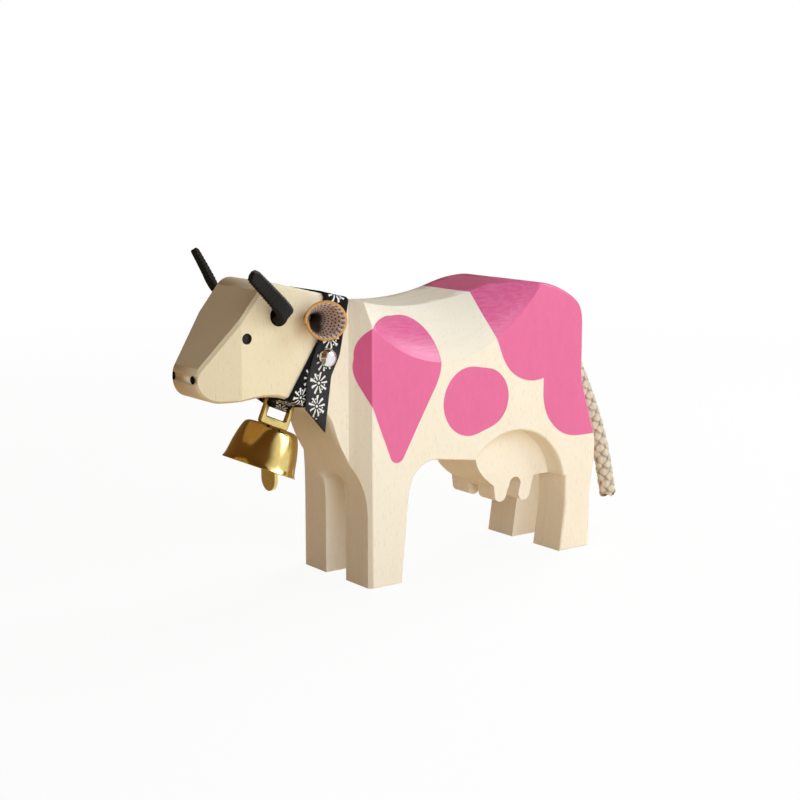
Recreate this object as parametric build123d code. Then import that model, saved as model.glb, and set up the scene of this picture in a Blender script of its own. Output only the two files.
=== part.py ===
from build123d import *
import os
from math import atan2, cos, pi, radians, sin, tan

# Toy cow sawn from one plank, with leather horns and ears, a ribbon collar, a brass bell and a rope tail.
# Millimetres. The cow looks along -X, its left side is towards -Y and +Z is up. The origin lies on the
# floor, midway between the nose and the hocks, on the middle plane of the plank.

# Block: the plank and its side outline, as (x, z) places from the front feet over the head and back
plank = 42.0
leg_front_x = -21.8
front_knee_z = 24.5
brisket_low = (-24.4, 39.9)
brisket_high = (-30.9, 52.6)
throat_rear = (-37.3, 61.8)
throat_front = (-50.0, 67.2)
jaw = (-56.6, 68.7)
chin_z = 67.8
chin_radius = 7.6
nose_x = -80.6
nose_radius = 6.0
forehead_lean = 38.6
forehead_length = 31.2
poll_radius = 6.0
neck_fall = 14.0
withers_x = -25.0
saddle = (0.0, 94.8)
loin = (24.0, 97.5)
hip = (45.0, 100.9)
croup = (60.0, 98.6)
rump = (69.4, 93.6)
rump_x = 73.4
rump_top_z = 84.0
rump_foot_z = 67.2
thigh = (75.3, 57.5)
gaskin = (79.2, 45.4)
hock_x = 80.6
hock_z = 38.1
cannon = (79.3, 26.7)
hind_foot_x = 63.7
hind_foot = 14.6
hind_shin = (66.2, 17.0)
belly_front = (6.8, 41.5)
belly_fall = 3.2
elbow_top = (-1.1, 39.2)
elbow = (-5.5, 29.3)
front_foot = 13.4

# Block: widths, facets and cuts
neck = 28.0
muzzle = 16.0
muzzle_crease_x = -66.9
shoulder_front_x = -25.7
shoulder_rear_x = -20.6
leg_slot = 12.3
leg_slot_z = 37.0
leg_slot_round = 3.0
hind_slot_x = 60.0
udder = 24.8
udder_x = 41.9
udder_z = 24.4
udder_pocket_radius = 23.5
udder_top_x = 30.2
udder_front = (32.4, 32.6)
udder_rear_z = 28.3
teat_width = 5.4
teat_pitch = 11.3
teat_gap_x = 49.1
teat_gap_z = 28.6
teat_slot = 6.0
teat_slot_z = 25.2
teat_slot_round = 0.6
front_teat = (42.2, 20.2)
front_teat_root = (39.1, 26.4)
rear_teat_z = 19.4
rear_teat_root_x = 58.0
scoop_radius = 110.0
scoop_lean = 20.0
scoop_x = 11.2
scoop_z = 75.3
edge_round = 0.8
face_bevel = 1.0
overcut = 1.0

# Drilled places in the block
eye = (-64.8, 88.4)
eye_bore = 3.4
nostril = (6.2, 75.6)
nostril_bore = 2.6
dot_depth = 0.8
horn = (-52.6, 95.0)
horn_bore = 6.8
horn_depth = 9.0
ear = (-40.6, 93.4)
ear_bore = 5.4
ear_depth = 6.0
tail_z = 76.9
tail_depth = 12.0

# Soft trim
clearance = 0.15
horn_width = 6.4
horn_thickness = 3.2
horn_tip = 0.66
horn_corner = 1.2
horn_straight = 1.2
left_horn_twist = radians(43.0)
right_horn_twist = radians(-50.0)
ear_rim = 13.4
ear_reach = 9.0
ear_leather = 1.2
ear_lean = 10.0
ear_cut = 16.0
ribbon_width = 10.0
ribbon_neck = 6.8
ribbon = 0.6
collar_top_x = -30.9
nail = (-35.7, 80.2)
nail_head = 6.6
nail_dome = 3.0
nail_shank = 1.2
nail_length = 11.0
nail_point = 0.2
nail_play = 0.04
collar_kink = (-38.7, 85.2)
loose_end = [(-39.7, 83.4), (-30.4, 83.4), (-33.5, 73.8), (-36.9, 55.3), (-44.4, 63.9), (-43.0, 73.8)]
rope = 6.5
rope_bend_share = 0.45

# Bends of the soft trim: horn points from the hole's mouth (forward -X, outward, up), and the tail's route
left_horn_bend = [(-1.3, 4.8, 1.6), (-5.2, 7.5, 4.7), (-11.8, 10.5, 10.5), (-18.6, 14.0, 15.5)]
right_horn_bend = [(-2.3, 4.2, 3.0), (-3.9, 7.0, 6.7), (-4.9, 10.4, 12.2), (-7.1, 14.5, 19.4)]
tail_route = [
    (79.2, 0, 76.9),
    (86.2, 0, 69.4),
    (92.0, 0, 58.4),
    (98.0, -0.4, 45.2),
    (103.1, -0.8, 30.3),
    (106.5, -1.2, 12.6),
]

# Bell
loop_width = 11.7
loop_bar = 1.9
loop_gap = 0.45
loop_thickness = 2.0
loop_height = 8.7
loop_foot = 2.8
bell_crown = 11.2
bell_shoulder = 20.0
bell_shoulder_drop = 4.0
bell_mouth = 25.8
bell_height = 14.5
bell_wall = 0.7
loop_round = 0.45
tang_width = 4.0
pin = 1.6
pin_drop = 2.6
clapper_width = 8.6
clapper_thickness = 1.2
clapper_length = 18.8
knuckle = 3.4
knuckle_play = 0.1
pin_play = 0.02
bell_ends = [(1, 0), (0.16, 1)]

# Heights and directions that follow from the sizes above
throat_slope = atan2(throat_front[1] - throat_rear[1], throat_rear[0] - throat_front[0])
forehead = radians(forehead_lean)
fall = radians(neck_fall)
chin_top_z = chin_z + chin_radius
forehead_foot = (nose_x + nose_radius * (1 - cos(forehead)), chin_top_z + nose_radius * sin(forehead))
forehead_top = (
    forehead_foot[0] + forehead_length * sin(forehead),
    forehead_foot[1] + forehead_length * cos(forehead),
)
poll_end = (
    forehead_top[0] + poll_radius * (cos(forehead) + sin(fall)),
    forehead_top[1] + poll_radius * (cos(fall) - sin(forehead)),
)
seat_gap = 2 * clearance
throat_x = (throat_front[0] + throat_rear[0]) / 2
throat_middle = Vector(throat_x, 0, (throat_front[1] + throat_rear[1]) / 2)
throat_way = Vector(cos(throat_slope), 0, -sin(throat_slope))
throat_down = Vector(-sin(throat_slope), 0, -cos(throat_slope))

# Frame of the bell: the origin is the middle of the loop's top bar, and Z runs down the bell's own axis
pivot = throat_middle + throat_down * (loop_gap + loop_bar / 2)
bell_frame = Plane(origin=pivot, x_dir=throat_way, z_dir=throat_down)
crown_z = loop_height - loop_bar / 2
mouth_z = crown_z + bell_height
pin_z = crown_z + bell_wall + pin_drop


def neck_top(x):
    """Height of the straight top of the neck."""
    return poll_end[1] - (x - poll_end[0]) * tan(fall)


def side_face(edges):
    """Face from edges drawn with X forward and Y up, stood on the middle plane of the cow."""
    return Plane.XZ * make_face(Wire(edges))


def across(face, low, high):
    """Solid between two places along Y from a face that lies on the middle plane."""
    return Pos(0, low, 0) * extrude(face, high - low, dir=(0, 1, 0))


def udder_edges(front_top):
    """Lower edge of the udder from the hind leg to the belly, with two round-ended teats."""
    half = teat_width / 2
    front_x = front_teat[0]
    rear_x = front_x + teat_pitch
    gap_side_z = teat_gap_z - half
    front_side_z = front_teat[1] + half
    rear_side_z = rear_teat_z + half
    rear_root = (rear_teat_root_x, udder_rear_z)
    return [
        Line((hind_shin[0], udder_rear_z), rear_root),
        Line(rear_root, (rear_x + half, rear_side_z)),
        ThreePointArc((rear_x + half, rear_side_z), (rear_x, rear_teat_z), (rear_x - half, rear_side_z)),
        Line((rear_x - half, rear_side_z), (teat_gap_x + half, gap_side_z)),
        ThreePointArc(
            (teat_gap_x + half, gap_side_z),
            (teat_gap_x, teat_gap_z),
            (teat_gap_x - half, gap_side_z),
        ),
        Line((teat_gap_x - half, gap_side_z), (front_x + half, front_side_z)),
        ThreePointArc((front_x + half, front_side_z), front_teat, (front_x - half, front_side_z)),
        Line((front_x - half, front_side_z), front_teat_root),
        Spline(front_teat_root, udder_front, front_top, tangents=[(-0.82, 0.57), (-0.15, 1)]),
    ]


def outline_edges():
    """Side outline of the block, from the front feet over the head and back to the feet again."""
    fall_way = (cos(fall), -sin(fall))
    jaw_way = (throat_front[0] - throat_rear[0], throat_front[1] - throat_rear[1])
    chin = (nose_x + chin_radius, chin_z)
    chin_middle = (chin[0] - chin_radius * sin(pi / 4), chin_top_z - chin_radius * cos(pi / 4))
    nose = (nose_x, chin_top_z)
    withers = (withers_x, neck_top(withers_x))
    front_top = (udder_top_x, belly_front[1] - belly_fall)
    knee = (leg_front_x, front_knee_z)
    front_heel = (leg_front_x + front_foot, 0)
    hock = (hock_x, hock_z)
    hind_heel = (hind_foot_x + hind_foot, 0)
    down = (0, -1)
    return [
        Line((leg_front_x, 0), knee),
        Spline(knee, brisket_low, brisket_high, throat_rear, tangents=[(0, 1), jaw_way]),
        Line(throat_rear, throat_front),
        Spline(throat_front, jaw, chin, tangents=[jaw_way, (-1, 0)]),
        ThreePointArc(chin, chin_middle, nose),
        TangentArc(nose, forehead_foot, tangent=(0, 1)),
        Line(forehead_foot, forehead_top),
        TangentArc(forehead_top, poll_end, tangent=(sin(forehead), cos(forehead))),
        Line(poll_end, withers),
        Spline(withers, saddle, loin, hip, tangents=[fall_way, (1, 0)]),
        Spline(hip, croup, rump, (rump_x, rump_top_z), tangents=[(1, 0), down]),
        Line((rump_x, rump_top_z), (rump_x, rump_foot_z)),
        Spline((rump_x, rump_foot_z), thigh, gaskin, hock, tangents=[down, down]),
        Spline(hock, cannon, hind_heel, tangents=[down, down]),
        Line(hind_heel, (hind_foot_x, 0)),
        Line((hind_foot_x, 0), hind_shin),
        Line(hind_shin, (hind_shin[0], udder_rear_z)),
        *udder_edges(front_top),
        Line(front_top, belly_front),
        Spline(belly_front, elbow_top, elbow, tangents=[(-1, 0.08), (-0.1, -1)]),
        Line(elbow, front_heel),
        Line(front_heel, (leg_front_x, 0)),
    ]


def side_bore(place, bore, depth, side):
    """Drill bit that enters the side of the neck square to it."""
    middle = side * (neck / 2 - depth / 2 + overcut)
    return Pos(place[0], middle, place[1]) * Rot(90, 0, 0) * Cylinder(bore / 2, depth + 2 * overcut)


def end_bore(place, bore, depth):
    """Drill bit along X, through the middle of a hole of this depth."""
    return Pos(*place) * Rot(0, 90, 0) * Cylinder(bore / 2, depth + 2 * overcut)


def make_scoop(side):
    """Long hollow ground across the top of a flank with a leaning drum."""
    lean = radians(scoop_lean)
    outward = Vector(0, side * cos(lean), sin(lean))
    drum = Plane(
        origin=Vector(scoop_x, side * plank / 2, scoop_z) + outward * scoop_radius,
        x_dir=(1, 0, 0),
        z_dir=(0, -side * sin(lean), cos(lean)),
    )
    return drum * Cylinder(scoop_radius, 2 * hip[1])


def bevel_head(block):
    """Narrow bevel along both sides of the face, the neck and the jaw."""
    edges = block.edges().filter_by(Axis.Z, reverse=True).filter_by(Axis.Y, reverse=True)
    return chamfer(edges.filter_by(lambda edge: edge.center().X < shoulder_front_x), face_bevel)


def round_flanks(block):
    """Small round along the outline of both flanks, but not where the scoops run out."""
    edges = block.edges().filter_by(GeomType.ELLIPSE, reverse=True)
    flank = edges.filter_by(lambda edge: abs(abs(edge.center().Y) - plank / 2) < edge_round / 10)
    return fillet(flank, edge_round)


def make_body():
    """The sawn block: outline, facets of the head and shoulders, slots, pockets, scoops and holes."""
    block = across(side_face(outline_edges()), -plank / 2, plank / 2)
    taper = (neck - muzzle) / 2 / (muzzle_crease_x - nose_x)
    half_plan = [
        (hock_x + overcut, plank / 2),
        (shoulder_rear_x, plank / 2),
        (shoulder_front_x, neck / 2),
        (muzzle_crease_x, neck / 2),
        (nose_x - overcut, muzzle / 2 - overcut * taper),
    ]
    other_half = [(x, -y) for x, y in reversed(half_plan)]
    plan = make_face(Polyline(*half_plan, *other_half, close=True))
    body = bevel_head(block & extrude(plan, 2 * hip[1]))
    between_legs = Plane.YZ * RectangleRounded(leg_slot, 2 * leg_slot_z, leg_slot_round)
    between_teats = Plane.YZ * RectangleRounded(teat_slot, 2 * teat_slot_z, teat_slot_round)
    body -= Pos(nose_x, 0, 0) * extrude(between_legs, belly_front[0] - nose_x)
    body -= Pos(belly_front[0], 0, 0) * extrude(between_teats, hind_slot_x - belly_front[0])
    body -= Pos(hind_slot_x, 0, 0) * extrude(between_legs, hock_x)
    pocket_deep = (plank - udder) / 2
    for side in (-1, 1):
        pocket_y = side * (udder / 2 + pocket_deep)
        pocket = Rot(90, 0, 0) * Cylinder(udder_pocket_radius, 2 * pocket_deep)
        body -= Pos(udder_x, pocket_y, udder_z) * pocket
        body -= make_scoop(side)
    body = round_flanks(body)
    for side in (-1, 1):
        body -= side_bore(eye, eye_bore, dot_depth, side)
        body -= side_bore(horn, horn_bore, horn_depth, side)
        body -= side_bore(ear, ear_bore, ear_depth, side)
        nostril_place = (nose_x + dot_depth / 2 - overcut, side * nostril[0], nostril[1])
        body -= end_bore(nostril_place, nostril_bore, dot_depth)
    body -= side_bore(nail, nail_shank, nail_length, -1)
    tail_place = (rump_x - tail_depth / 2 + overcut, 0, tail_z)
    return body - end_bore(tail_place, rope + 2 * clearance, tail_depth)


def make_horn(side, bend, twist):
    """Leather strip, straight in its hole and then bent through a few points to the tip."""
    outward = Vector(0, side, 0)
    mouth = Vector(horn[0], side * neck / 2, horn[1])
    points = [mouth - outward * (horn_depth - clearance), mouth + outward * horn_straight]
    points += [mouth + Vector(x, side * y, z) for x, y, z in bend]
    last = len(points) - 1
    sections = []
    for i, point in enumerate(points):
        ahead = outward if i < 2 else (points[min(i + 1, last)] - points[i - 1]).normalized()
        broad = Vector(cos(twist), 0, sin(twist))
        broad -= ahead * broad.dot(ahead)
        share = 1 - (1 - horn_tip) * max(0, i - 1) / (last - 1)
        strip = RectangleRounded(horn_width * share, horn_thickness * share, horn_corner * share)
        sections.append(Plane(origin=point, x_dir=broad, z_dir=ahead) * strip)
    return loft(sections, ruled=True)


def make_ear(side):
    """Rolled leather: a round stem in the drilled hole that opens to a wide cone, cut off at a slant."""
    lean = radians(ear_lean)
    cut = radians(ear_cut)
    stem_radius = ear_bore / 2 - clearance
    raised = seat_gap + stem_radius * sin(lean)
    stem_length = ear_depth + raised - clearance
    upward = (Align.CENTER, Align.CENTER, Align.MIN)
    past_cut = ear_reach + ear_rim * tan(cut)
    wide = stem_radius + (ear_rim / 2 - stem_radius) * past_cut / ear_reach
    cone = Cone(stem_radius, wide, past_cut, align=upward)
    hollow = Cone(stem_radius - ear_leather, wide - ear_leather, past_cut, align=upward)
    stem = Cylinder(stem_radius, stem_length, align=(Align.CENTER, Align.CENTER, Align.MAX))
    trim = Plane(origin=(0, 0, ear_reach), z_dir=(-sin(cut), 0, cos(cut)))
    rolled = split(cone - Pos(0, 0, ear_leather) * hollow, bisect_by=trim, keep=Keep.BOTTOM)
    place = (ear[0], side * (neck / 2 + raised), ear[1])
    straight = Plane(origin=place, x_dir=(1, 0, 0), z_dir=(0, side, 0))
    leaning = straight * Rot(0, -ear_lean, 0)
    return leaning * rolled + straight * stem


def make_collar():
    """One ribbon: over the neck, down its sides, under the throat through the loop, and a loose end."""
    inner = neck / 2 + seat_gap
    outer = inner + ribbon
    half = ribbon_width / 2
    rise = seat_gap + ribbon
    top_way = Vector(cos(fall), 0, -sin(fall))
    top_up = Vector(sin(fall), 0, cos(fall))
    top_middle = Vector(collar_top_x, 0, neck_top(collar_top_x))
    top_front = top_middle - top_way * half + top_up * rise
    top_rear = top_middle + top_way * half + top_up * rise
    low_front = throat_middle - throat_way * half + throat_down * rise
    low_rear = throat_middle + throat_way * half + throat_down * rise
    outline = [(p.X, p.Z) for p in (top_front, top_rear)] + [(nail[0] + half, nail[1])]
    outline += [(p.X, p.Z) for p in (low_rear, low_front)] + [collar_kink]
    flank = Plane.XZ * make_face(Polyline(*outline, close=True))
    collar = across(flank, inner, outer) + across(flank, -outer, -inner)
    over = Plane(origin=top_middle + top_up * seat_gap, x_dir=top_way, z_dir=top_up)
    collar += over * Box(ribbon_width, 2 * outer, ribbon, align=(Align.CENTER, Align.CENTER, Align.MIN))
    collar += make_sling(outer)
    collar += across(Plane.XZ * make_face(Polyline(*loose_end, close=True)), -outer - ribbon, -outer)
    return collar - side_bore(nail, nail_shank, nail_length, -1)


def make_sling(outer):
    """Stretch of the ribbon under the throat, drawn in where it passes through the bell's loop."""
    half = ribbon_width / 2
    sag = loop_bar + 2 * loop_gap
    hold = loop_thickness
    lower = [(-outer, seat_gap), (-hold, sag), (hold, sag), (outer, seat_gap)]
    upper = [(y, depth + ribbon) for y, depth in reversed(lower)]
    across_throat = Plane(origin=throat_middle - throat_way * half, x_dir=(0, -1, 0), z_dir=throat_way)
    sling = extrude(across_throat * make_face(Polyline(*lower, *upper, close=True)), ribbon_width)
    below = Plane(origin=throat_middle, x_dir=throat_way, z_dir=throat_down)
    waist = ribbon_neck / 2
    for sign in (-1, 1):
        drawn_in = [(half + overcut, -outer), (half, -outer), (waist, -2 * hold)]
        drawn_in += [(x, -y) for x, y in reversed(drawn_in)]
        notch = make_face(Polyline(*[(sign * x, y) for x, y in drawn_in], close=True))
        sling -= below * extrude(notch, 2 * sag)
    return sling


def make_nail():
    """Round-headed nail: a domed head on a straight shank with a point."""
    under_head = neck / 2 + seat_gap + 2 * ribbon
    dome_radius = (nail_head ** 2 / 4 + nail_dome ** 2) / (2 * nail_dome)
    upward = (Align.CENTER, Align.CENTER, Align.MIN)
    downward = (Align.CENTER, Align.CENTER, Align.MAX)
    ball = Pos(0, 0, nail_dome - dome_radius) * Sphere(dome_radius)
    head = ball & Cylinder(nail_head, nail_dome, align=upward)
    straight = under_head - neck / 2 + nail_length - 2 * nail_shank
    shank_radius = nail_shank / 2 - nail_play
    shank = Cylinder(shank_radius, straight, align=downward)
    point = Pos(0, 0, -straight) * Cone(nail_point / 2, shank_radius, nail_shank, align=downward)
    out = Plane(origin=(nail[0], -under_head, nail[1]), x_dir=(1, 0, 0), z_dir=(0, -1, 0))
    return out * (head + shank + point)


def make_loop():
    """Flat cast loop: its top bar lies inside the ribbon, its tang goes down through the bell's crown."""
    opening_tall = loop_height - loop_bar - loop_foot
    opening = RectangleRounded(loop_width - 2 * loop_bar, opening_tall, loop_bar / 3)
    frame = Pos(0, loop_bar / 2 - loop_height / 2) * RectangleRounded(loop_width, loop_height, loop_bar / 2)
    frame -= Pos(0, -opening_tall / 2 - loop_bar / 2) * opening
    upright = Plane(origin=pivot, x_dir=throat_way, z_dir=(0, -1, 0))
    plate = extrude(upright * frame, loop_thickness / 2, both=True)
    plate = fillet(plate.edges().filter_by(Axis.Y, reverse=True), loop_round)
    tang_low = pin_z + knuckle / 2
    tang_top = crown_z - loop_foot / 2
    tang_thickness = loop_thickness - 2 * loop_round
    tang = Pos(0, 0, (tang_low + tang_top) / 2) * Box(tang_width, tang_thickness, tang_low - tang_top)
    bore = Pos(0, 0, pin_z) * Rot(90, 0, 0) * Cylinder(pin / 2, 2 * loop_thickness)
    return plate + bell_frame * tang - bell_frame * bore


def bell_section(inset):
    """Half section of the bell, set in by a wall: flat crown, and a side that bulges to the mouth."""
    top = crown_z + inset
    crown = (bell_crown / 2 - inset, top)
    shoulder = (bell_shoulder / 2 - inset, crown_z + bell_shoulder_drop)
    mouth = (bell_mouth / 2 - inset, mouth_z)
    edges = [
        Line((0, top), crown),
        Spline(crown, shoulder, mouth, tangents=bell_ends),
        Line(mouth, (0, mouth_z)),
        Line((0, mouth_z), (0, top)),
    ]
    return Plane.XZ * make_face(Wire(edges))


def make_bell():
    """Spun brass shell, open below, with a slot in its crown for the loop's tang."""
    shell = revolve(bell_section(0), Axis.Z) - revolve(bell_section(bell_wall), Axis.Z)
    tang_slot = Box(tang_width + clearance, loop_thickness - 2 * loop_round + clearance, 4 * bell_wall)
    return bell_frame * (shell - Pos(0, 0, crown_z) * tang_slot)


def make_pin():
    """Short wire through the tang, which the clapper turns on."""
    return bell_frame * (Pos(0, 0, pin_z) * Rot(90, 0, 0) * Cylinder(pin / 2 - pin_play, clapper_width))


def make_clapper():
    """Flat tongue with a round end, hanging straight down from two knuckles rolled round the pin."""
    hang = bell_frame.from_local_coords(Vector(0, 0, pin_z))
    half = clapper_width / 2
    square_end = clapper_length - half
    tongue = Pos(0, 0, -square_end / 2) * Box(clapper_thickness, clapper_width, square_end)
    tongue += Pos(0, 0, -square_end) * Rot(0, 90, 0) * Cylinder(half, clapper_thickness)
    tongue += Rot(90, 0, 0) * Cylinder(knuckle / 2, clapper_width)
    tongue -= Rot(90, 0, 0) * Cylinder(pin / 2 + knuckle_play, 2 * clapper_width)
    tang_room = knuckle + 2 * seat_gap + tang_width / 2
    tongue -= Box(2 * knuckle, loop_thickness, 2 * tang_room)
    return Pos(*hang) * tongue


def make_tail():
    """Rope from the bottom of its hole, out behind the rump and down: a tube of runs and tangent arcs."""
    start = (rump_x - tail_depth + clearance, 0, tail_z)
    route = [start, *tail_route]
    radii = []
    for before, here, after in zip(route, route[1:], route[2:]):
        run_in = Vector(*here) - Vector(*before)
        run_out = Vector(*after) - Vector(*here)
        turn = radians(run_in.get_angle(run_out))
        radii.append(rope_bend_share * min(run_in.length, run_out.length) / tan(turn / 2))
    path = FilletPolyline(*route, radius=radii)
    tube = sweep(Plane(origin=start, x_dir=(0, 1, 0), z_dir=(1, 0, 0)) * Circle(rope / 2), path)
    print("tail length", round(path.length, 1), "smallest bend", round(min(radii), 1))
    return tube


nodes = {
    "body": make_body(),
    "left_horn": make_horn(-1, left_horn_bend, left_horn_twist),
    "right_horn": make_horn(1, right_horn_bend, right_horn_twist),
    "left_ear": make_ear(-1),
    "right_ear": make_ear(1),
    "collar_ribbon": make_collar(),
    "collar_nail": make_nail(),
    "bell_loop": make_loop(),
    "bell_shell": make_bell(),
    "clapper_pin": make_pin(),
    "clapper": make_clapper(),
    "tail_rope": make_tail(),
}
os.makedirs("parts", exist_ok=True)
for name, shape in nodes.items():
    export_step(shape, f"parts/{name}.step")
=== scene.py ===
import math

import bmesh
import bpy
from mathutils import Matrix, Vector


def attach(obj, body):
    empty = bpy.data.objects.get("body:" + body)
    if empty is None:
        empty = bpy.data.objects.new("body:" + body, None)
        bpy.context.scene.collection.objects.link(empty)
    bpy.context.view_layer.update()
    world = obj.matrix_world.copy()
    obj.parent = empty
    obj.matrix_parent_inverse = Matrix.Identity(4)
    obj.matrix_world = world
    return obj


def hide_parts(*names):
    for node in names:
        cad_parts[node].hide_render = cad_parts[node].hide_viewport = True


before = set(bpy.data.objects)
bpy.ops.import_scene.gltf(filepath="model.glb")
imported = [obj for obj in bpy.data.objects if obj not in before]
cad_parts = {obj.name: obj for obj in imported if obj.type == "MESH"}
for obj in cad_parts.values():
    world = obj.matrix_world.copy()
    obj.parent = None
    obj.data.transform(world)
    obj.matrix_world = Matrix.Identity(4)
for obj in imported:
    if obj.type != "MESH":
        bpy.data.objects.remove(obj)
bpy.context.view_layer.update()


# Block: head, neck, trunk, legs and udder are sawn from one pale, close-grained plank and sanded smooth.
# Pink patches are brushed on by hand, and the drilled eyes and nostrils are touched in with black.
MM = 0.001


class Finish:
    """One value in a material's nodes. Sums on it add Math nodes, and node() adds any other kind."""

    def __init__(self, tree, socket=None):
        self.tree = tree
        self.socket = socket

    def node(self, kind, settings=None, inputs=None, output=0):
        """New node of this kind: its settings are set first, and then its sockets' values or links."""
        made = self.tree.nodes.new(kind)
        for name, value in (settings or {}).items():
            setattr(made, name, value)
        for name, value in (inputs or {}).items():
            if isinstance(value, Finish):
                self.tree.links.new(value.socket, made.inputs[name])
            else:
                made.inputs[name].default_value = value
        return Finish(self.tree, made.outputs[output] if made.outputs else None)

    def out(self, name):
        """Another output of the same node."""
        return Finish(self.tree, self.socket.node.outputs[name])

    def math(self, operation, *values):
        return self.node("ShaderNodeMath", {"operation": operation}, dict(enumerate(values)))

    def __add__(self, other):
        return self.math("ADD", self, other)

    def __sub__(self, other):
        return self.math("SUBTRACT", self, other)

    def __rsub__(self, other):
        return self.math("SUBTRACT", other, self)

    def __mul__(self, other):
        return self.math("MULTIPLY", self, other)

    def __truediv__(self, other):
        return self.math("DIVIDE", self, other)

    def __lt__(self, other):
        return self.math("LESS_THAN", self, other)

    def __gt__(self, other):
        return self.math("GREATER_THAN", self, other)

    def __abs__(self):
        return self.math("ABSOLUTE", self)

    __radd__ = __add__


def new_finish(name):
    """Empty material, and the start of its nodes."""
    material = bpy.data.materials.new(name)
    material.use_nodes = True
    material.node_tree.nodes.clear()
    return material, Finish(material.node_tree)


def rgb(red, green, blue):
    return (red, green, blue, 1.0)


def tinted(mask, under, over):
    """Colour that goes from one to another as the mask rises."""
    settings = {"data_type": "RGBA"}
    return mask.node("ShaderNodeMix", settings, {0: mask, 6: under, 7: over}, 2)


def held(value):
    """Value kept from 0 to 1."""
    return value.node("ShaderNodeClamp", None, {"Value": value})


def stretched(place, scale):
    """Places drawn out or squeezed along each axis."""
    return place.node("ShaderNodeMapping", None, {"Vector": place, "Scale": scale})


def mottle(place, scale, detail=3.0):
    """Cloudy noise from 0 to 1, with this many clouds to a unit of place."""
    inputs = {"Vector": place, "Scale": scale, "Detail": detail}
    return place.node("ShaderNodeTexNoise", None, inputs, "Fac")


def places_in_mm(start):
    """Places on the piece in millimetres."""
    coordinates = start.node("ShaderNodeTexCoord", output="Object")
    return stretched(coordinates, (1 / MM, 1 / MM, 1 / MM))


def parts_of(place):
    """The three parts of a vector."""
    parts = place.node("ShaderNodeSeparateXYZ", None, {"Vector": place})
    return parts.out("X"), parts.out("Y"), parts.out("Z")


def kept_on(start, name):
    """Value that the mesh keeps at each point under this name."""
    return start.node("ShaderNodeAttribute", {"attribute_name": name}, output="Fac")


def raised(height, depth_mm):
    """Surface that rises and falls with a height from 0 to 1."""
    return height.node("ShaderNodeBump", None, {"Height": height, "Distance": depth_mm * MM}, "Normal")


def coated(start, **sockets):
    """Principled shader on the material's output. Socket names are written with _ for a space."""
    inputs = {name.replace("_", " "): value for name, value in sockets.items()}
    shader = start.node("ShaderNodeBsdfPrincipled", None, inputs, "BSDF")
    start.node("ShaderNodeOutputMaterial", None, {"Surface": shader})


def reach(across, along):
    """Distance from two sides of a right angle."""
    return across.math("SQRT", across * across + along * along)


def round_ends(x, z, first, first_radius, last, last_radius):
    """Distance in mm, negative inside, from an outline stretched round two circles seen from the side."""
    step = Vector(last) - Vector(first)
    length = step.length
    way = step / length
    taper = (first_radius - last_radius) / length
    lean = taper / math.sqrt(1 - taper ** 2)
    along = (x - first[0]) * way.x + (z - first[1]) * way.y
    aside = abs((x - first[0]) * way.y - (z - first[1]) * way.x)
    share = held((along - aside * lean) / length)
    return reach(aside, along - share * length) - (first_radius - share * (first_radius - last_radius))


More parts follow.
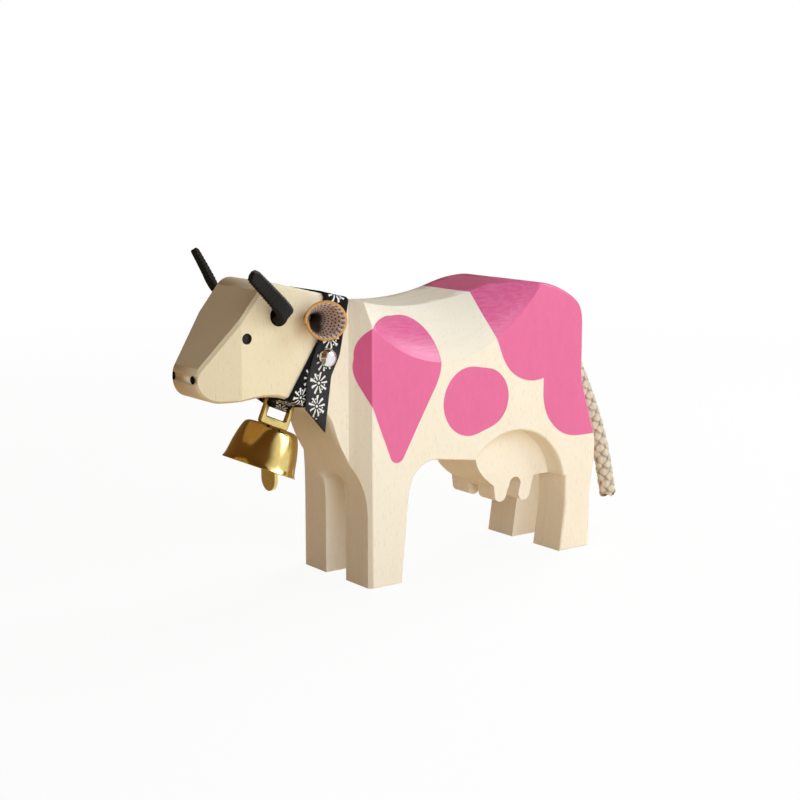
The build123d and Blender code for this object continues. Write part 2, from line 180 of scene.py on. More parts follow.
def wood_finish():
    """Bare wood with rings, fibres and flecks that run up the cow, pink patches and black dots.
    Painted shade darkens the wood towards the head and blackens the horn holes, and a painted sheen
    lightens the pink in the hollows along the back.
    """
    front_patch = ((-8.3, 76.0), 16.5, (-10.6, 45.6), 3.0)
    shoulder_patch = ((-12.0, 80.0), 12.6, (-8.3, 76.0), 16.0)
    middle_patch = ((21.3, 60.6), 12.2, (27.6, 60.9), 10.7)
    loin_patch = ((50.5, 81.5), 16.3, (50.0, 120.0), 30.6)
    thigh_patch = ((72.0, 60.2), 17.4, (76.0, 90.0), 21.0)
    hock_patch = ((72.0, 60.2), 17.4, (90.0, 60.2), 17.4)
    flank_skin = 20.7
    shoulder_end = -20.0
    brush_wander = 0.3
    paint_edge = 0.16
    head_shade_from = -24.0
    head_shade_fade = 22.0
    eye = (-64.8, 88.4)
    eye_radius = 1.78
    horn_hole = (-52.6, 95.0)
    horn_hole_radius = 3.45
    nostril = (6.2, 75.6)
    nostril_radius = 1.36
    face_skin = 13.1
    nose_skin = -79.4
    early_colour = rgb(0.875, 0.822, 0.715)
    late_colour = rgb(0.82, 0.735, 0.595)
    broad_colour = rgb(0.84, 0.765, 0.63)
    head_shade_colour = rgb(0.79, 0.685, 0.475)
    fleck_colour = rgb(0.55, 0.38, 0.22)
    deep_pink = rgb(0.69, 0.098, 0.280)
    light_pink = rgb(0.745, 0.120, 0.318)
    fleck_pink = rgb(0.50, 0.06, 0.17)
    painted_sheen_pink = rgb(0.84, 0.33, 0.50)
    black_dots_and_hole_shade = rgb(0.012, 0.011, 0.010)
    material, start = new_finish("painted_wood")
    place = places_in_mm(start)
    x, y, z = parts_of(place)

    late_wood = held((mottle(stretched(place, (0.012, 0.42, 0.006)), 1.0) - 0.5) * 5.0)
    fibre = mottle(stretched(place, (3.2, 3.2, 0.13)), 1.0, 4.0)
    broad = mottle(stretched(place, (0.11, 0.11, 0.02)), 1.0)
    fleck = held((mottle(stretched(place, (2.6, 2.6, 0.5)), 1.0, 1.0) - 0.62) * 9.0)
    wood = tinted(held(late_wood * 0.5 + fibre * 0.4), early_colour, late_colour)
    wood = tinted(held(broad * 0.9 - 0.25), wood, broad_colour)
    # Painted shade: the wood is darkened towards the head, standing in for the weaker light that falls
    # there.
    painted_head_shade = held((head_shade_from - x) / head_shade_fade)
    wood = tinted(painted_head_shade * 0.85, wood, head_shade_colour)
    wood = tinted(fleck * 0.22, wood, fleck_colour)

    wander = (mottle(place, 0.08) - 0.5) * 2.0 * brush_wander
    patches = [front_patch, shoulder_patch, middle_patch, loin_patch, thigh_patch, hock_patch]
    outline = round_ends(x, z, *patches[0])
    for patch in patches[1:]:
        outline = outline.math("MINIMUM", outline, round_ends(x, z, *patch))
    paint = held(0.5 - (outline + wander) / paint_edge)
    coat = mottle(stretched(place, (0.5, 0.5, 0.2)), 1.0)
    pink = tinted(coat, deep_pink, light_pink)
    pink = tinted(fleck * 0.2, pink, fleck_pink)
    # Painted sheen: the pink is lightened in streaks on the scooped hollows along the back, standing in for
    # a glossy reflection there.
    sheen_hollow = held((flank_skin - abs(y)) * 1.5) * held(x - shoulder_end)
    sheen_streak = held((mottle(stretched(place, (0.04, 1.5, 1.5)), 1.0) - 0.35) * 2.5)
    pink = tinted(sheen_hollow * sheen_streak * 0.4, pink, painted_sheen_pink)
    colour = tinted(paint, wood, pink)

    eye_mask = (reach(x - eye[0], z - eye[1]) < eye_radius) * (abs(y) > face_skin)
    # Painted shade: the bore of each horn hole is blackened like the eye and nostril dots, standing in for
    # the shadow in the hole around the horn's root.
    hole_shade_mask = reach(x - horn_hole[0], z - horn_hole[1]) < horn_hole_radius
    nostril_mask = (reach(abs(y) - nostril[0], z - nostril[1]) < nostril_radius) * (x < nose_skin)
    black = held(eye_mask + hole_shade_mask + nostril_mask)
    colour = tinted(black, colour, black_dots_and_hole_shade)
    grain = fibre * 0.5 + late_wood * 0.2 - fleck * 0.8 + paint * 0.3
    roughness = 0.58 - paint * 0.18 + fibre * 0.08 - black * 0.22
    coated(
        start, Base_Color=colour, Roughness=roughness, Normal=raised(grain, 0.04),
        Specular_IOR_Level=0.3, Coat_Weight=paint * 0.9, Coat_Roughness=0.3, Coat_IOR=1.6,
    )
    return material


def dress(piece, *materials):
    """Gives a piece or a carried-over node its materials."""
    piece.data.materials.clear()
    for material in materials:
        piece.data.materials.append(material)


def ease_edges(node):
    """Sanded corners on a carried-over node: its faces are joined first and tiny faces removed after."""
    same_place = 1e-6
    tiny = 0.01 * MM
    corner = math.radians(35.0)
    node.modifiers.new("joined", "WELD").merge_threshold = same_place
    sanded = node.modifiers.new("sanded", "BEVEL")
    sanded.limit_method = "ANGLE"
    sanded.angle_limit = corner
    sanded.width = 0.8 * MM
    sanded.segments = 2
    node.modifiers.new("cleaned", "WELD").merge_threshold = tiny


dress(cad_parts["body"], wood_finish())
ease_edges(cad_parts["body"])


# Horns: two short strips of thick black leather, ribbed across one face and a little narrower at the tip.
# Each is pushed into a drilled hole in the side of the head and bent by hand, so the two differ.
def lined_up(points, steps):
    """Points along a smooth line that these control points pull, from one end to the other."""
    data = bpy.data.curves.new("line", "CURVE")
    data.dimensions = "3D"
    data.resolution_u = steps
    spline = data.splines.new("NURBS")
    spline.points.add(len(points) - 1)
    for spot, point in zip(spline.points, points):
        spot.co = (*point, 1.0)
    spline.order_u = 3
    spline.use_endpoint_u = True
    holder = bpy.data.objects.new("line", data)
    mesh = bpy.data.meshes.new_from_object(holder)
    places = [vertex.co.copy() for vertex in mesh.vertices]
    bpy.data.objects.remove(holder)
    bpy.data.curves.remove(data)
    bpy.data.meshes.remove(mesh)
    return places


def evenly(places, pitch):
    """Points at an even pitch along a line of many points, with the way that the line runs at each."""
    stations = []
    covered = 0.0
    for here, there in zip(places, places[1:]):
        run = there - here
        while len(stations) * pitch <= covered + run.length:
            share = (len(stations) * pitch - covered) / run.length
            stations.append((here + run * share, run.normalized()))
        covered += run.length
    return stations


def seat_at(middle, first, second, third):
    """Matrix that sets a shape's own axes along three vectors about a point."""
    return Matrix.Translation(middle) @ Matrix((first, second, third)).transposed().to_4x4()


def drawn_out(work, end, seats, mark=None):
    """Draws faces, or a row of edges, through one seat after another and leaves a skin behind them."""
    solid = isinstance(end[0], bmesh.types.BMFace)
    kind = bmesh.types.BMFace if solid else bmesh.types.BMEdge
    old_seat = Matrix.Identity(4)
    for i, seat in enumerate(seats):
        if i and solid:
            made = bmesh.ops.extrude_face_region(work, geom=end)["geom"]
            bmesh.ops.delete(work, geom=end, context="FACES_ONLY")
            end = [item for item in made if isinstance(item, kind)]
        elif i:
            made = bmesh.ops.extrude_edge_only(work, edges=end)["geom"]
            end = [item for item in made if isinstance(item, kind)]
        row = list({vertex for item in end for vertex in item.verts})
        bmesh.ops.transform(work, matrix=seat @ old_seat.inverted(), verts=row)
        old_seat = seat
        if mark:
            mark(i, row)
    return end


def new_piece(name, work, materials, body):
    """Finished piece from a bmesh, with its materials, the body that it rides on and its finish."""
    mesh = bpy.data.meshes.new(name)
    work.to_mesh(mesh)
    work.free()
    piece = bpy.data.objects.new(name, mesh)
    bpy.context.scene.collection.objects.link(piece)
    dress(piece, *materials)
    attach(piece, body)
    return piece


def smooth_all(work):
    for face in work.faces:
        face.smooth = True


def horn_finish():
    """Black leather, greyer and scuffed along the cut upper edge."""
    material, start = new_finish("black_strip_leather")
    place = places_in_mm(start)
    across = kept_on(start, "across")
    pores = mottle(place, 5.0, 5.0)
    scuff = held((mottle(stretched(place, (1.3, 1.3, 1.3)), 1.0) - 0.35) * 2.2)
    edge = held((across - 0.33) * 10.0)
    colour = tinted(pores, rgb(0.004, 0.004, 0.004), rgb(0.014, 0.013, 0.012))
    colour = tinted(edge * (0.35 + scuff * 0.65), colour, rgb(0.15, 0.147, 0.142))
    roughness = 0.5 + pores * 0.25 + edge * 0.12
    coated(
        start, Base_Color=colour, Roughness=roughness, Normal=raised(pores, 0.05),
        Specular_IOR_Level=0.3,
    )
    return material


def make_horn(name, node, side, bend, twist, groove, material):
    """Strip with a rounded section drawn along its bend, with each rib fuller than the groove beside it."""
    hole = Vector((-52.6, 14.0 * side, 95.0)) * MM
    in_hole = 8.8 * MM
    straight = 1.2 * MM
    width = 6.4 * MM
    thickness = 3.2 * MM
    tip_share = 0.68
    corner = 0.16
    tip_round = 1.6 * MM
    tip_bite = 0.7
    groove_side = 0.5
    rib_pitch = 1.35 * MM
    outward = Vector((0, side, 0))
    points = [hole - outward * in_hole, hole, hole + outward * straight]
    points += [hole + Vector((x, y * side, z)) * MM for x, y, z in bend]
    stations = evenly(lined_up(points, 24), rib_pitch / 2)
    last = len(stations) - 1
    seats = []
    for i, (point, ahead) in enumerate(stations):
        share = 1 - (1 - tip_share) * i / last
        broad = Vector((math.cos(twist), 0, math.sin(twist)))
        broad = (broad - ahead * broad.dot(ahead)).normalized()
        flat = ahead.cross(broad)
        cut = groove if i % 2 else 0.0
        middle = point + (flat * thickness + broad * width * groove_side) * share * cut / 2
        short = max(0.0, tip_round - (last - i) * rib_pitch / 2)
        trim = 2 * (tip_round - math.sqrt(tip_round ** 2 - short ** 2)) * tip_bite
        wide = broad * (width * share * (1 - cut * groove_side) - trim)
        thick = flat * thickness * share * (1 - cut)
        seats.append(seat_at(middle, wide, thick, ahead * MM))
    work = bmesh.new()
    across = work.verts.layers.float.new("across")
    bmesh.ops.create_grid(work, x_segments=1, y_segments=1, size=0.5)
    bmesh.ops.bevel(
        work, geom=work.verts[:], offset=corner, affect="VERTICES", segments=3, profile=0.5, material=-1
    )
    for vertex in work.verts:
        vertex[across] = vertex.co.x
    drawn_out(work, work.faces[:], seats)
    bmesh.ops.contextual_create(work, geom=[edge for edge in work.edges if edge.is_boundary])
    bmesh.ops.recalc_face_normals(work, faces=work.faces[:])
    piece = new_piece(name, work, [material], "cow")
    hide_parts(node)


horn_leather = horn_finish()
left_bend = [(-0.6, 5.8, 0.9), (-4.6, 8.3, 4.3), (-11.8, 10.5, 10.5), (-18.6, 14.0, 15.5)]
right_bend = [(-2.3, 4.2, 3.0), (-3.9, 7.0, 6.7), (-4.9, 10.4, 12.2), (-7.1, 14.5, 19.4)]
make_horn("left_horn_strip", "left_horn", -1, left_bend, math.radians(43.0), 0.16, horn_leather)
make_horn("right_horn_strip", "right_horn", 1, right_bend, math.radians(-50.0), 0.07, horn_leather)


# Ears: two pieces of soft brown leather, tan where cut, each rolled to a cone with its edge tucked inside.
# The narrow end is pushed into a drilled hole in the side of the head, behind the horn.
def ear_outside_finish():
    """Smooth tan side of the leather."""
    material, start = new_finish("tan_leather")
    place = places_in_mm(start)
    pores = mottle(place, 4.0, 5.0)
    blotch = mottle(place, 0.5)
    colour = tinted(blotch, rgb(0.40, 0.185, 0.065), rgb(0.55, 0.27, 0.095))
    colour = tinted(pores * 0.4, colour, rgb(0.30, 0.13, 0.05))
    coated(start, Base_Color=colour, Roughness=0.55, Normal=raised(pores, 0.08))
    return material


def ear_rim_finish():
    """Cut edge of the leather: orange tan, a little darker in streaks."""
    material, start = new_finish("cut_leather_edge")
    place = places_in_mm(start)
    fibres = mottle(place, 3.0, 4.0)
    colour = tinted(fibres, rgb(0.50, 0.22, 0.05), rgb(0.78, 0.42, 0.13))
    coated(start, Base_Color=colour, Roughness=0.6, Normal=raised(fibres, 0.1))
    return material


def ear_inside_finish():
    """Suede side: dusty brown with rows of small dark pricks and pale ticks along the cut, with painted
    light on the upper inside and painted shadow deep in the cone.
    """
    slant = math.radians(26.0)
    rim_x = -42.16
    rim_y = 23.61
    rows = 26.0
    row_pitch = 1.35
    prick_radius = 0.29
    material, start = new_finish("pricked_suede")
    place = places_in_mm(start)
    x, y = parts_of(place)[:2]
    turn = kept_on(start, "turn")
    along = kept_on(start, "along")
    depth = (x - rim_x) * math.sin(slant) - (abs(y) - rim_y) * math.cos(slant)
    column = turn * rows
    line = along / row_pitch
    stagger = line.math("FLOORED_MODULO", line.math("FLOOR", line), 2.0) * 0.5
    beside = line.math("FRACT", column + stagger) - 0.5
    behind = line.math("FRACT", line) - 0.5
    prick = held((prick_radius - reach(beside, behind)) * 10.0)
    nap = mottle(place, 4.0, 5.0)
    shade = mottle(place, 0.55)
    at_cut = held(1.9 - depth * 1.6)
    tick = held((turn.math("SINE", column * 2.0 * math.pi) - 0.1) * 4.0) * at_cut
    colour = tinted(held(shade * 1.4 - 0.2), rgb(0.36, 0.20, 0.145), rgb(0.60, 0.46, 0.41))
    # Painted light: the start of the roll, on the upper inside, is lightened to pale lavender, standing in
    # for the light that falls on that side.
    painted_lit_side = held(2.2 - turn * 5.5)
    colour = tinted(painted_lit_side * (0.6 + nap * 0.5), colour, rgb(0.80, 0.74, 0.78))
    colour = tinted(prick, colour, rgb(0.045, 0.018, 0.012))
    # Painted shadow: the narrow end of the cone and the part under the tucked edge are darkened to near
    # black.
    tuck_shadow = held((turn - 0.62) * 6.0)
    painted_cone_shadow = held((4.4 + tuck_shadow * 4.0 - painted_lit_side * 2.0 - along) * 0.35)
    colour = tinted(painted_cone_shadow, colour, rgb(0.03, 0.018, 0.012))
    colour = tinted(tick * 0.85, colour, rgb(0.86, 0.78, 0.68))
    coated(start, Base_Color=colour, Roughness=0.85, Normal=raised(nap * 0.5 - prick, 0.12))
    return material


def make_ear(name, node, side, materials):
    """Sheet drawn once round a leaning axis, tighter towards its inner edge, then cut off at a slant."""
    hole = Vector((-40.6, 14.75 * side, 93.4)) * MM
    lean = math.radians(10.0)
    cut = math.radians(26.0)
    reach_out = 9.0 * MM
    profile = [(2.0, -3.5), (2.2, 0.0), (3.0, 1.6), (6.7, 9.0), (8.3, 12.2)]
    leather = 0.9 * MM
    seam = math.radians(187.0)
    whole_turn = math.radians(364.0)
    tuck = 1.1 * MM
    steps = 72
    axis = Vector((-math.sin(lean), side * math.cos(lean), 0))
    forward = Vector((-math.cos(lean), -side * math.sin(lean), 0))
    up = Vector((0, 0, 1))
    line = lined_up([Vector((radius, 0, height)) * MM for radius, height in profile], 8)
    work = bmesh.new()
    turn = work.verts.layers.float.new("turn")
    along = work.verts.layers.float.new("along")
    row = [work.verts.new(point) for point in line]
    edges = [work.edges.new(pair) for pair in zip(row, row[1:])]
    for vertex in row:
        vertex[along] = vertex.co.z / MM
    widest = line[-1].x
    seats = []
    for i in range(steps + 1):
        angle = seam - whole_turn * i / steps
        radial = -forward * math.cos(angle) + up * math.sin(angle)
        shrunk = 1 - tuck / widest * (i / steps) ** 3
        seats.append(seat_at(hole, radial * shrunk, radial.cross(axis), axis))

    def mark(i, placed):
        for vertex in placed:
            vertex[turn] = i / steps

    drawn_out(work, edges, seats, mark)
    rim_normal = Vector((-math.sin(cut), side * math.cos(cut), 0))
    everything = work.verts[:] + work.edges[:] + work.faces[:]
    bmesh.ops.bisect_plane(
        work, geom=everything, dist=0.0, plane_co=hole + axis * reach_out, plane_no=rim_normal,
        clear_outer=True,
    )
    bmesh.ops.recalc_face_normals(work, faces=work.faces[:])
    sample = work.faces[:][0]
    outward = sample.calc_center_median() - hole
    outward -= axis * outward.dot(axis)
    if sample.normal.dot(outward) < 0:
        bmesh.ops.reverse_faces(work, faces=work.faces[:])
    smooth_all(work)
    piece = new_piece(name, work, materials, "cow")
    wall = piece.modifiers.new("leather", "SOLIDIFY")
    wall.thickness = leather
    wall.offset = -1.0
    wall.material_offset = 1
    wall.material_offset_rim = 2
    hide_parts(node)


ear_leather = [ear_outside_finish(), ear_inside_finish(), ear_rim_finish()]
make_ear("left_ear_roll", "left_ear", -1, ear_leather)
make_ear("right_ear_roll", "right_ear", 1, ear_leather)


# Collar: one woven black ribbon with white edelweiss flowers. It starts under the nail, goes under the
# throat through the bell's loop, up the far side and over the neck, and hangs loose from the nail.
def ribbon_finish(loose_from):
    """Black twill with one white flower after another along its middle, and a painted sheen on its loose
    end.
    """
    pitch = 7.653
    first_flower = 3.29
    first_turn = math.radians(10.0)
    petals = 9
    petal_root = 0.95
    petal_tip = 3.7
    flowered = 26.5
    dot_ring = 2.5
    dot_radius = 0.36
    middle_radius = 0.55
    twill = 0.42
    sheen_fade = 4.0
    material, start = new_finish("edelweiss_ribbon")
    along = kept_on(start, "along")
    across = kept_on(start, "across")
    place = places_in_mm(start)

    repeat = along.math("FRACT", (along - first_flower) / pitch + 0.5)
    length = (repeat - 0.5) * pitch
    out = reach(length, across)
    crooked = (mottle(place, 0.5) - 0.5) * 0.4 - first_turn
    angle = along.math("ARCTAN2", length, across) + crooked
    petal_angle = 2 * math.pi / petals
    off_petal = abs(along.math("FRACT", angle / petal_angle) - 0.5)
    aside = off_petal * out * petal_angle
    uneven = along.math("SINE", angle * 4.0 + 1.0) * 0.25
    half_petal = 0.24 + (out - petal_root) * 0.09
    petal = held((half_petal - aside) * 7.0) * held((out - petal_root) * 6.0)
    petal = petal * held((petal_tip + uneven - out) * 6.0)
    gap_aside = (0.5 - off_petal) * out * petal_angle
    ring_dot = held((dot_radius - reach(gap_aside, out - dot_ring)) * 7.0)
    ring_dot = ring_dot * held(along.math("SINE", angle * 2.0 + 0.6) * 5.0)
    middle_dot = held((middle_radius - out) * 7.0)
    plain_tip = held((loose_from + flowered - along) * 5.0)
    flower = held(petal + ring_dot + middle_dot) * plain_tip

    weft = along.math("SINE", (along + across) * (2 * math.pi / twill)) * 0.5 + 0.5
    warp = along.math("SINE", across * (2 * math.pi / (twill * 0.6))) * 0.5 + 0.5
    weave = weft * 0.7 + warp * 0.3
    fluff = mottle(place, 2.2, 4.0)
    # Painted sheen: the loose end is lightened to charcoal, standing in for the light that its tilted face
    # catches.
    loose_end_sheen = held((along - loose_from) / sheen_fade)
    black = tinted(held(weave * 0.6 + fluff * 0.4), rgb(0.003, 0.003, 0.004), rgb(0.010, 0.010, 0.012))
    black = tinted(loose_end_sheen * held(weave * 0.5 + fluff * 0.8 - 0.1), black, rgb(0.060, 0.060, 0.068))
    white = tinted(weave * 0.35 + fluff * 0.25, rgb(0.92, 0.92, 0.91), rgb(0.62, 0.62, 0.62))
    colour = tinted(flower, black, white)
    height = weave * 0.5 + flower * 0.7
    coated(
        start, Base_Color=colour, Roughness=0.75, Normal=raised(height, 0.07),
        Specular_IOR_Level=0.15,
    )
    return material


def make_collar():
    """Row of edges across the ribbon, drawn from its pinned start to its loose end."""
    beside = 14.6
    top = ((-35.6, 101.7), (-25.9, 99.3))
    pinned = ((-38.7, 85.2), (-30.2, 80.4))
    low = ((-49.9, 67.6), (-43.0, 64.3))
    under = ((-52.2, 66.9), (-42.9, 63.1))
    waist = ((-47.92, 63.14), (-41.67, 60.48))
    loose = ((-43.0, 73.8), (-33.6, 73.8))
    end = ((-44.4, 63.9), (-36.9, 55.3))
    slack_side = 5.6
    bar_side = 1.7
    second_layer = 0.6
    lift = 1.1
    ease = 0.2
    steps = 5
    cloth = 0.45 * MM
    width = 10.0
    loose_length = 27.0
    cuts = 7

    def pair(edges, y):
        return [Vector((x, y, z)) * MM for x, z in edges]

    corners = [
        pair(pinned, -beside),
        pair(low, -beside),
        pair(under, -slack_side),
        pair(waist, -bar_side),
        pair(waist, bar_side),
        pair(under, slack_side),
        pair(low, beside),
        pair(pinned, beside),
        pair(top, beside),
        pair(top, -beside),
        pair(pinned, -beside - second_layer),
        pair(loose, -beside - second_layer),
        pair(end, -beside - second_layer - lift),
    ]
    fronts = []
    rears = []
    for before, here, after in zip(corners, corners[1:], corners[2:]):
        for controls, edge in ((fronts, 0), (rears, 1)):
            controls.append(here[edge].lerp(before[edge], ease))
            controls.append(here[edge])
            controls.append(here[edge].lerp(after[edge], ease))
    fronts = lined_up([corners[0][0], *fronts, corners[-1][0]], steps)
    rears = lined_up([corners[0][1], *rears, corners[-1][1]], steps)
    middles = [(front + rear) / 2 for front, rear in zip(fronts, rears)]
    ways = [(after - before).normalized() for before, after in zip(middles, middles[1:])]
    ways.append(ways[-1])
    seats = []
    covered = [0.0]
    for here, there in zip(middles, middles[1:]):
        covered.append(covered[-1] + (there - here).length)
    for front, rear, middle, way in zip(fronts, rears, middles, ways):
        span = rear - front
        seats.append(seat_at(middle, span, way * MM, span.cross(way).normalized() * MM))
    work = bmesh.new()
    along = work.verts.layers.float.new("along")
    across = work.verts.layers.float.new("across")
    first = [work.verts.new((x, 0, 0)) for x in (-0.5, 0.5)]
    bmesh.ops.subdivide_edges(work, edges=[work.edges.new(first)], cuts=cuts)
    for vertex in work.verts:
        vertex[across] = vertex.co.x * width

    def mark(i, placed):
        for vertex in placed:
            vertex[along] = (covered[i] + (vertex.co - middles[i]).dot(ways[i])) / MM

    drawn_out(work, work.edges[:], seats, mark)
    bmesh.ops.recalc_face_normals(work, faces=work.faces[:])
    smooth_all(work)
    cloth_finish = ribbon_finish(covered[-1] / MM - loose_length)
    ribbon = new_piece("collar_woven", work, [cloth_finish], "cow")
    wall = ribbon.modifiers.new("cloth", "SOLIDIFY")
    wall.thickness = cloth
    wall.offset = 0.0
    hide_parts("collar_ribbon")


make_collar()


# Nail: a round-headed steel nail, turned and polished bright.
# It is driven through both layers of the ribbon into the side of the neck and holds the collar together.
def polished_finish(name, bright, dull, roughness, rings):
    """Polished metal with faint turning marks round its own axis."""
    material, start = new_finish(name)
    place = places_in_mm(start)
    cloud = mottle(place, 0.6, 4.0)
    marks = mottle(stretched(place, rings), 1.0, 2.0)
    colour = tinted(held(cloud * 1.3 - 0.25), bright, dull)
    coated(
        start, Base_Color=colour, Metallic=1.0, Roughness=roughness + cloud * 0.08,
        Normal=raised(marks, 0.006),
    )
    return material


def turned(name, profile, steps, seat, material, body):
    """Piece turned on a lathe: its half profile, as radius and height, spun once round its axis."""
    work = bmesh.new()
    row = [work.verts.new((point.x, 0, point.z)) for point in profile]
    edges = [work.edges.new(pair) for pair in zip(row, row[1:])]
    bmesh.ops.spin(
        work, geom=row + edges, cent=(0, 0, 0), axis=(0, 0, 1), dvec=(0, 0, 0), angle=2 * math.pi,
        steps=steps, use_merge=True,
    )
    bmesh.ops.remove_doubles(work, verts=work.verts[:], dist=1e-7)
    bmesh.ops.transform(work, matrix=seat, verts=work.verts[:])
    bmesh.ops.recalc_face_normals(work, faces=work.faces[:])
    smooth_all(work)
    return new_piece(name, work, [material], body)


def rounded(points):
    """Smooth half profile, in metres, from a few points of radius and height in mm."""
    return lined_up([Vector((radius, 0, height)) * MM for radius, height in points], 8)


steel_bright = rgb(0.86, 0.86, 0.87)
steel_dull = rgb(0.74, 0.74, 0.76)
steel = polished_finish("bright_steel", steel_bright, steel_dull, 0.06, (0.6, 0.6, 0.6))
nail_place = Vector((-35.7, -15.5, 80.2)) * MM
nail_seat = seat_at(nail_place, Vector((1, 0, 0)), Vector((0, 0, 1)), Vector((0, -1, 0)))
nail_head = [(0.0, 3.0), (1.5, 3.0), (2.75, 2.3), (3.3, 1.1), (3.3, 0.2), (3.1, 0.02), (0.6, 0.0)]
nail_shank = [(0.56, -0.4), (0.56, -6.0), (0.56, -10.6), (0.1, -11.8), (0.0, -11.8)]
nail = turned("nail_dome", rounded(nail_head + nail_shank), 48, nail_seat, steel, "cow")
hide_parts("collar_nail")


# Bell: a small spun brass cup on a flat cast loop, which is threaded on the ribbon. The loop's tang goes
# down through the crown and holds a wire pin, and a flat clapper swings on it.
def soften(node):
    """Smooth light over a carried-over node's round faces, with its corners left crisp."""
    same_place = 1e-6
    crisp = math.radians(35.0)
    node.data.shade_smooth()
    node.modifiers.new("joined", "WELD").merge_threshold = same_place
    node.modifiers.new("crisp", "EDGE_SPLIT").split_angle = crisp


brass_bright = rgb(0.80, 0.62, 0.24)
brass_dull = rgb(0.66, 0.49, 0.17)
brass = polished_finish("polished_brass", brass_bright, brass_dull, 0.13, (0.3, 0.3, 2.6))
pivot = Vector((-44.1978, 0, 63.2116)) * MM
throat_way = Vector((0.920266, 0, -0.391294))
bell_down = Vector((-0.391294, 0, -0.920266))
crown_drop = 7.75 * MM
crown = pivot + bell_down * crown_drop
bell_height = 14.5
wall_share = 0.945
outer = [(0.0, 0.0), (5.6, 0.0), (9.0, 0.1), (10.3, 3.2)]
outer += [(11.5, 8.0), (12.1, 12.2), (12.5, 13.7), (12.9, bell_height)]
inner = []
for radius, drop in reversed(outer):
    inner.append((radius * wall_share, bell_height - (bell_height - drop) * wall_share))
bell_seat = seat_at(crown, throat_way, Vector((0, -1, 0)), bell_down)
bell = turned("bell_spun", rounded(outer) + rounded(inner), 72, bell_seat, brass, "bell")
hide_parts("bell_shell")
for name in ("bell_loop", "clapper_pin", "clapper"):
    dress(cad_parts[name], brass)
    soften(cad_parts[name])


# Tail: a length of braided cotton rope, glued in a hole in the rump. It hangs out behind under its own
# weight, with its end cut off square.
def rope_finish():
    """Unbleached cotton: pale yarn, with painted brown shade low in the braid and along the furrows between
    yarns.
    """
    shade = rgb(0.11, 0.065, 0.032)
    cotton = rgb(0.74, 0.69, 0.60)
    furrow_shade = rgb(0.44, 0.35, 0.26)
    material, start = new_finish("cotton_rope")
    place = places_in_mm(start)
    height = kept_on(start, "height")
    turn = kept_on(start, "yarn")
    fuzz = mottle(place, 7.0, 4.0)
    yarn = (turn.math("SINE", turn) + 1.0) * 0.5
    blotch = mottle(place, 0.7)
    # Painted shade: the colour darkens to brown where the braid lies low between strands, and along the
    # furrows between yarns.
    colour = tinted(held(height * 3.2 + blotch * 1.2 - 2.75), shade, cotton)
    colour = tinted(yarn * 0.25 + fuzz * 0.15, colour, furrow_shade)
    coated(start, Base_Color=colour, Roughness=0.9, Normal=raised(yarn * 0.6 + fuzz * 0.5, 0.18))
    return material


def lay_strand(work, stations, step, rope, way, first_angle):
    """One flattened strand that winds round the rope, over and under the strands that cross it."""
    lay = 20.0 * MM
    crossings = 4
    strand_radius = 1.0 * MM
    strand_spread = 1.7
    weave = 0.3 * MM
    sunk = 0.7
    yarns = 3
    yarn_lay = 0.35 * MM
    round_sides = 10
    middle = rope / 2 - strand_radius - weave * sunk
    side = Vector((0, 1, 0))
    height = work.verts.layers.float["height"]
    yarn = work.verts.layers.float["yarn"]
    centres = []
    outs = []
    for i, (point, ahead) in enumerate(stations):
        swing = 2 * math.pi * i * step / lay
        angle = way * swing + first_angle
        out = ahead.cross(side).normalized() * math.cos(angle) + side * math.sin(angle)
        outs.append(out)
        centres.append(point + out * (middle + way * weave * math.cos(crossings * swing)))
    befores = centres[:1] + centres
    afters = centres[1:] + centres[-1:]
    seats = []
    for before, here, after, out in zip(befores, centres, afters, outs):
        run = (after - before).normalized()
        flat = run.cross(out).normalized()
        crown_way = flat.cross(run)
        spread = flat * strand_radius * strand_spread
        seats.append(seat_at(here, spread, crown_way * strand_radius, run * MM))

    def mark(i, ring):
        flat, crown_way, run = (column.to_3d().normalized() for column in seats[i].col[:3])
        for vertex in ring:
            reach_out = (vertex.co - stations[i][0]).length
            vertex[height] = (reach_out - middle) / (rope / 2 - middle)
            offset = vertex.co - centres[i]
            around = math.atan2(offset.dot(crown_way), offset.dot(flat))
            vertex[yarn] = yarns * around + way * i * step / yarn_lay

    circle = bmesh.ops.create_circle(work, cap_ends=True, segments=round_sides, radius=1.0)
    faces = list({face for vertex in circle["verts"] for face in vertex.link_faces})
    drawn_out(work, faces, seats, mark)


def make_tail():
    """Eight strands, four each way, round the rope's own line."""
    route = [(61.55, 0, 76.9), (79.2, 0, 76.9), (86.2, 0, 69.4), (92.0, 0, 58.4), (98.0, -0.4, 45.2)]
    route += [(103.1, -0.8, 30.3), (106.5, -1.2, 12.6)]
    rope = 6.5 * MM
    strands = 4
    step = 0.45 * MM
    line = lined_up([Vector(point) * MM for point in route], 24)
    stations = evenly(line, step)
    work = bmesh.new()
    work.verts.layers.float.new("height")
    work.verts.layers.float.new("yarn")
    for way in (-1, 1):
        for strand in range(strands):
            lay_strand(work, stations, step, rope, way, strand * 2 * math.pi / strands)
    bmesh.ops.holes_fill(work, edges=work.edges[:])
    bmesh.ops.recalc_face_normals(work, faces=work.faces[:])
    smooth_all(work)
    tail = new_piece("tail_braid", work, [rope_finish()], "cow")
    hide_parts("tail_rope")


make_tail()


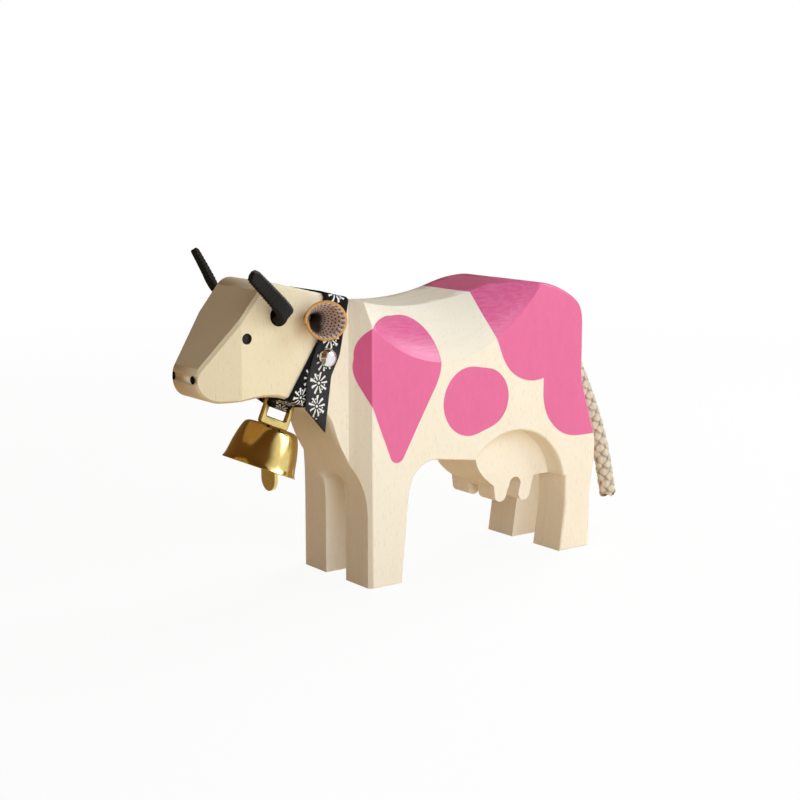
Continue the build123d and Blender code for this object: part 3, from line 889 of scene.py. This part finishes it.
# Studio: a pale floor and a dim warm room, with a soft lamp before the cow's left side, a window lamp at
# the camera's right and a lamp above behind. A brown card and a white one show in polished things alone.
def floor_finish():
    """Floor that is seen as white with the cow's shadow on it, and that throws warm light up at the cow."""
    warm_light = rgb(0.92, 0.67, 0.41)
    pale = rgb(0.95, 0.94, 0.93)
    plain_share = 0.93
    near_edge = 260.0
    fade = 500.0
    material, start = new_finish("white_floor")
    x, y = parts_of(places_in_mm(start))[:2]
    ray = start.node("ShaderNodeLightPath", output="Is Camera Ray")
    seen = held(ray + ray.out("Is Glossy Ray") + ray.out("Is Transmission Ray"))
    far = held((reach(x, y) - near_edge) / fade)
    colour = tinted(seen, warm_light, pale)
    matt = start.node("ShaderNodeBsdfDiffuse", None, {"Color": colour}, "BSDF")
    white = start.node("ShaderNodeEmission", None, {"Color": rgb(1, 1, 1), "Strength": 1.0}, "Emission")
    plain = seen * (plain_share + far * (1 - plain_share))
    shader = start.node("ShaderNodeMixShader", None, {0: plain, 1: matt, 2: white}, "Shader")
    start.node("ShaderNodeOutputMaterial", None, {"Surface": shader})
    return material


def card_finish(name, near, far):
    """Card that shows its own colour, which goes from one to another towards the cow's rump."""
    fade_from = -60.0
    fade = 300.0
    material, start = new_finish(name)
    x = parts_of(places_in_mm(start))[0]
    colour = tinted(held((x - fade_from) / fade), near, far)
    glow = start.node("ShaderNodeEmission", None, {"Color": colour, "Strength": 1.0}, "Emission")
    start.node("ShaderNodeOutputMaterial", None, {"Surface": glow})
    return material


def stage_piece(name, work, material):
    """Piece of the studio that isn't part of the cow."""
    mesh = bpy.data.meshes.new(name)
    work.to_mesh(mesh)
    work.free()
    piece = bpy.data.objects.new(name, mesh)
    bpy.context.scene.collection.objects.link(piece)
    dress(piece, material)
    return piece


def add_card(name, place, normal, half_width, half_height, material):
    """Flat card, upright or lying down, that only polished things show."""
    work = bmesh.new()
    bmesh.ops.create_grid(work, x_segments=1, y_segments=1, size=1.0)
    bmesh.ops.scale(work, vec=(half_width, half_height, 1.0), verts=work.verts[:])
    turn = Vector(normal).to_track_quat("Z", "Y").to_matrix().to_4x4()
    bmesh.ops.transform(work, matrix=Matrix.Translation(place) @ turn, verts=work.verts[:])
    card = stage_piece(name, work, material)
    card.visible_camera = False
    card.visible_diffuse = False
    card.visible_shadow = False


def add_lamp(name, place, target, size, power, colour):
    """Square soft lamp that looks at a point."""
    data = bpy.data.lights.new(name, "AREA")
    data.shape = "SQUARE"
    data.size = size
    data.energy = power
    data.color = colour
    lamp = bpy.data.objects.new(name, data)
    bpy.context.scene.collection.objects.link(lamp)
    lamp.location = place
    lamp.rotation_euler = (Vector(target) - Vector(place)).to_track_quat("-Z", "Y").to_euler()
    return lamp


floor_work = bmesh.new()
bmesh.ops.create_circle(floor_work, cap_ends=True, segments=64, radius=6.0)
stage_piece("floor", floor_work, floor_finish())

card_brown = rgb(0.31, 0.215, 0.115)
card_grey = rgb(0.25, 0.21, 0.16)
card_white = rgb(1, 1, 1)
brown_card = card_finish("brown_card", card_brown, card_brown)
white_card = card_finish("white_card", card_grey, card_white)
add_card("lying_card", (-0.52, -0.22, 0.002), (0, 0, 1), 0.46, 0.85, brown_card)
add_card("standing_card", (0.34, -0.72, 0.30), (-0.55, 0.80, -0.20), 0.50, 0.34, white_card)

flank = (0.0, 0.0, 0.06)
back = (0.0, 0.0, 0.08)
key_lamp = add_lamp("key_lamp", (-0.14, -0.61, 0.22), flank, 0.55, 3.3, (0.825, 0.945, 1.0))
key_lamp.visible_glossy = False
add_lamp("window_lamp", (0.45, -0.44, 0.31), flank, 0.36, 1.6, (0.84, 0.94, 1.0))
top_lamp = add_lamp("top_lamp", (0.50, 0.15, 0.60), back, 0.4, 3.7, (0.94, 0.98, 1.0))
top_lamp.visible_glossy = False

world = bpy.data.worlds.new("studio")
bpy.context.scene.world = world
world.use_nodes = True
world.node_tree.nodes.clear()
room = Finish(world.node_tree)
world_ray = room.node("ShaderNodeLightPath", output="Is Camera Ray")
world_seen = held(world_ray + world_ray.out("Is Transmission Ray"))
way = room.node("ShaderNodeTexCoord", output="Generated")
up = room.node("ShaderNodeSeparateXYZ", None, {"Vector": way}, "Z")
low_room = rgb(0.20, 0.118, 0.050)
high_room = rgb(0.11, 0.054, 0.018)
room_colour = tinted(held(up * 1.4), low_room, high_room)
dim_warm = room.node("ShaderNodeBackground", None, {"Color": room_colour, "Strength": 1.0})
plain_white = room.node("ShaderNodeBackground", None, {"Color": rgb(1, 1, 1), "Strength": 1.0})
backdrop = room.node("ShaderNodeMixShader", None, {0: world_seen, 1: dim_warm, 2: plain_white}, "Shader")
room.node("ShaderNodeOutputWorld", None, {"Surface": backdrop})

camera_down = math.radians(9.627)
camera_turn = math.radians(-36.2548)
camera_data = bpy.data.cameras.new("camera")
camera_data.lens = 73.19
camera_data.sensor_width = 36.0
camera = bpy.data.objects.new("camera", camera_data)
bpy.context.scene.collection.objects.link(camera)
camera.location = (-0.32942, -0.45725, 0.15589)
camera.rotation_euler = (math.pi / 2 - camera_down, 0, camera_turn)
bpy.context.scene.camera = camera
bpy.context.scene.view_settings.view_transform = "Standard"
